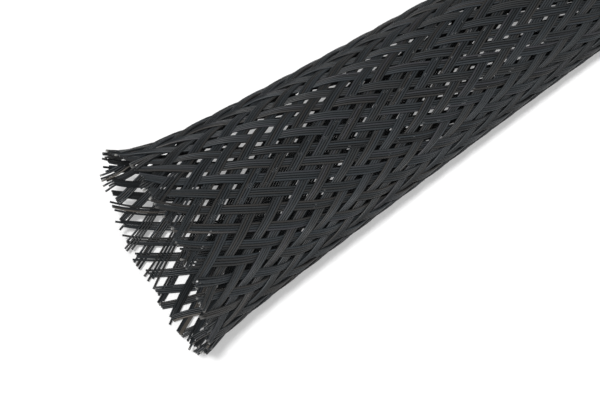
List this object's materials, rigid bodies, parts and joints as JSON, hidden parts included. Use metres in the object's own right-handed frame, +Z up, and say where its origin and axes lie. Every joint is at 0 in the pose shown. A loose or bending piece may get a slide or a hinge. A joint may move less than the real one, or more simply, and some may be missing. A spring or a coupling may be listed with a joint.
{
  "type": "braided cable sleeve",
  "caption": "Open-weave braided plastic sleeve that slides over a bundle of cables, lying on its side with one cut end opened up.",
  "frame": {"origin": "on the floor, under the middle of the sleeve's length", "axes": "+X along the sleeve from the opened end to the plain cut end, +Z up"},
  "size_m": [0.305, 0.0246, 0.0224],
  "materials": {
    "pet_monofilament": "black extruded PET monofilament with a satin skin"
  },
  "bodies": {
    "root": {"braided_wall": "pet_monofilament"}
  },
  "joints": []
}
